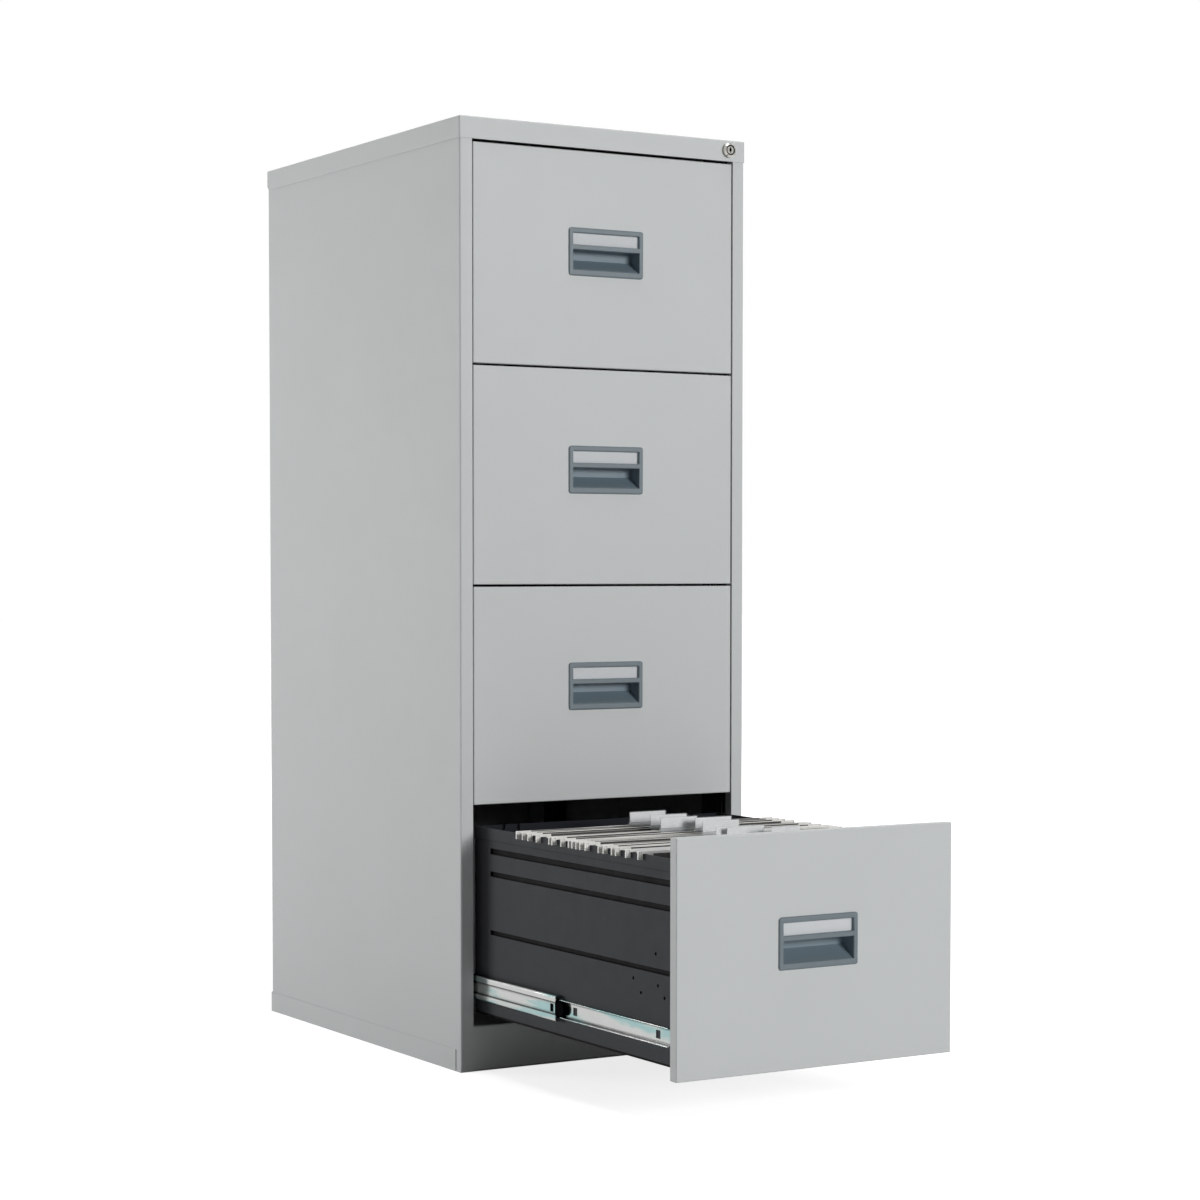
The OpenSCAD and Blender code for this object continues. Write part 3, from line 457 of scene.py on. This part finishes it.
# One finish for each material slot of the record, and three that are chosen by the piece
DRAWER_COAT = {"roughness": (0.5, 0.6), "gloss": 0.03, "reach": 0.035, "power": 1.6}
FINISHES = {
    "painted_steel": powder_coat("painted_steel", STEEL_GREY, roughness=(0.50, 0.54), gloss=0.4),
    "frame_steel": powder_coat("frame_steel", FRAME_GREY, roughness=(0.5, 0.6), gloss=0.2,
                               reach=0.02, power=0.5),
    "drawer_steel": powder_coat("drawer_steel", PAN_SHADED_GREY, **DRAWER_COAT),
    "zinc_steel": zinc_plate("zinc_steel"),
    "cage_steel": bright_metal("cage_steel", BALL_STEEL, roughness=(0.22, 0.32), reach=0.004, power=2),
    "cage_plastic": moulded_plastic("cage_plastic", CAGE_BLACK, painted_hollow_tone=shade(CAGE_BLACK, 0.2),
                                    roughness=(0.35, 0.45), gloss=0, grain=0.00001),
    "handle_plastic": moulded_plastic("handle_plastic", HANDLE_BLUE, painted_hollow_tone=HANDLE_HOLLOW_LIGHT,
                                      roughness=(0.42, 0.52), gloss=0.45, grain=0.00002),
    "label_card": card_board("label_card", CARD_GREY, reach=0.0015),
    "lock_metal": bright_metal("lock_metal", NICKEL, roughness=(0.16, 0.26), reach=0.003, power=1.5,
                               painted_shade=plug_shade_mask),
    "file_bar": file_bar_finish("file_bar"),
    "file_card": card_board("file_card", MANILA, reach=0.03),
    "tab_plastic": tab_finish("tab_plastic"),
}
# The next two have painted shade: in grooves and on lower edges, and in the creases of the slides
GROOVE_SHADED_STEEL = powder_coat("groove_shaded_steel", DRAWER_GREY, grooves=True, **DRAWER_COAT)
CREASE_SHADED_ZINC = zinc_plate("crease_shaded_zinc", creases=True)
SLIP_PAPER = card_board("slip_paper", PAPER_WHITE)


def dress_nodes():
    """Gives each node the finish of its slot, or one with painted shade where it has grooves or creases."""
    shaped = {"_side": GROOVE_SHADED_STEEL, "_middle_members": CREASE_SHADED_ZINC}
    for part in frame["record"]["subparts"]:
        finish = FINISHES[part["material_slot"]]
        for ending, shaped_finish in shaped.items():
            if part["node"].endswith(ending):
                finish = shaped_finish
        for material_slot in frame["nodes"][part["node"]].material_slots:
            material_slot.material = finish


# Slips in the index tabs


def loose_boxes(mesh):
    """Lowest and highest corner of each loose part of a mesh."""
    shape = bmesh.new()
    shape.from_mesh(mesh)
    bmesh.ops.remove_doubles(shape, verts=shape.verts, dist=SAME_POINT)
    boxes = []
    left = set(shape.verts)
    while left:
        part = [left.pop()]
        for vertex in part:
            for edge in vertex.link_edges:
                other = edge.other_vert(vertex)
                if other in left:
                    left.remove(other)
                    part.append(other)
        boxes.append([[pick(v.co[axis] for v in part) for axis in range(3)] for pick in (min, max)])
    shape.free()
    return sorted(boxes)


def add_slip(name, low, high, slid):
    """Blank paper slip that bows a little inside a tab, whose box is given. Its left end has slid in."""
    half_t = SLIP_T / 2
    middle = (low[1] + high[1]) / 2
    shape = bmesh.new()
    rows = []
    left = low[0] + SLIP_MARGIN + slid
    right = high[0] - SLIP_MARGIN
    for i in range(SLIP_STEPS + 1):
        share = i / SLIP_STEPS
        x = left + share * (right - left)
        y = middle + SLIP_BOW * math.sin(math.pi * share)
        corners = [(-half_t, low[2] + SLIP_RISE), (half_t, low[2] + SLIP_RISE),
                   (half_t, high[2] - SLIP_MARGIN), (-half_t, high[2] - SLIP_MARGIN)]
        rows.append([shape.verts.new((x, y + dy, z)) for dy, z in corners])
    for before, after in zip(rows, rows[1:]):
        for k in range(4):
            shape.faces.new((before[k], before[k - 1], after[k - 1], after[k]))
    shape.faces.new(rows[0])
    shape.faces.new(rows[-1][::-1])
    bmesh.ops.recalc_face_normals(shape, faces=shape.faces)
    mesh = bpy.data.meshes.new(name)
    shape.to_mesh(mesh)
    shape.free()
    mesh.materials.append(SLIP_PAPER)
    slip = bpy.data.objects.new(name, mesh)
    bpy.context.scene.collection.objects.link(slip)
    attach(slip, "drawer_4")


def add_slips():
    """One slip in each index tab. The one of the front tab has slid along."""
    boxes = loose_boxes(frame["nodes"]["index_tabs"].data)
    front = min(low[1] for low, _ in boxes)
    for i, (low, high) in enumerate(boxes):
        add_slip(f"tab_slip_{i + 1}", low, high, SLIP_SLID if low[1] == front else 0)


# Stage


def add_floor():
    """Pale floor that shows white to the camera, and a little darker only in the object's shadow."""
    mesh = bpy.data.meshes.new("floor")
    corners = [(-1, -1), (1, -1), (1, 1), (-1, 1)]
    mesh.from_pydata([(x * FLOOR_HALF, y * FLOOR_HALF, 0) for x, y in corners], [], [(0, 1, 2, 3)])
    floor = bpy.data.objects.new("floor", mesh)
    bpy.context.scene.collection.objects.link(floor)
    material, tree, shader = new_material("floor")
    shader.inputs["Base Color"].default_value = (*FLOOR_GREY, 1)
    shader.inputs["Roughness"].default_value = 0.9
    shader.inputs["Specular IOR Level"].default_value = 0
    shader.inputs["Emission Color"].default_value = (1, 1, 1, 1)
    distance = tree.nodes.new("ShaderNodeVectorMath")
    distance.operation = "LENGTH"
    tree.links.new(place_of(tree), distance.inputs[0])
    far = rescale(tree, distance.outputs["Value"], FLOOR_NEAR, FLOOR_FAR, FLOOR_GLOW, 1)
    glow = math_node(tree, "MULTIPLY", far, seen_directly(tree, 0, 1))
    tree.links.new(glow, shader.inputs["Emission Strength"])
    mesh.materials.append(material)


def seen_directly(tree, otherwise, seen):
    """One strength for what the camera sees, mirrored or through glass too, and another for light."""
    path = tree.nodes.new("ShaderNodeLightPath")
    total = path.outputs["Is Camera Ray"]
    for name in ("Is Glossy Ray", "Is Transmission Ray"):
        total = math_node(tree, "MAXIMUM", total, path.outputs[name])
    return rescale(tree, total, 0, 1, otherwise, seen)


def add_world():
    """A world that looks white and gives a little light."""
    world = bpy.data.worlds.new("studio")
    bpy.context.scene.world = world
    world.use_nodes = True
    background = world.node_tree.nodes["Background"]
    background.inputs["Color"].default_value = (1, 1, 1, 1)
    world.node_tree.links.new(seen_directly(world.node_tree, WORLD_LIGHT, 1.0), background.inputs["Strength"])


def add_softbox(name, location, target, size, power):
    """A rectangular lamp that faces its target."""
    lamp = bpy.data.lights.new(name, "AREA")
    lamp.shape = "RECTANGLE"
    lamp.size, lamp.size_y = size
    lamp.energy = power
    box = bpy.data.objects.new(name, lamp)
    box.location = location
    box.rotation_euler = (Vector(target) - Vector(location)).to_track_quat("-Z", "Y").to_euler()
    bpy.context.scene.collection.objects.link(box)


def add_camera():
    """The camera that took the photo. Its shift puts the centre of the view where the photo has it."""
    data = bpy.data.cameras.new("camera")
    data.sensor_width = SENSOR_MM
    data.lens = FOCAL_PX / IMAGE_PX * SENSOR_MM
    data.shift_x = (IMAGE_PX / 2 - CENTRE_PX[0]) / IMAGE_PX
    data.shift_y = (CENTRE_PX[1] - IMAGE_PX / 2) / IMAGE_PX
    camera = bpy.data.objects.new("camera", data)
    camera.location = CAMERA_AT
    ahead = Vector((math.sin(CAMERA_YAW) * math.cos(CAMERA_PITCH),
                    math.cos(CAMERA_YAW) * math.cos(CAMERA_PITCH),
                    math.sin(CAMERA_PITCH)))
    camera.rotation_euler = ahead.to_track_quat("-Z", "Y").to_euler()
    bpy.context.scene.collection.objects.link(camera)
    bpy.context.scene.camera = camera


dress_nodes()
add_slips()
add_floor()
add_world()
for lamp_name, lamp_facts in SOFT_BOXES.items():
    add_softbox(lamp_name, *lamp_facts)
add_camera()
bpy.context.scene.view_settings.view_transform = "Standard"
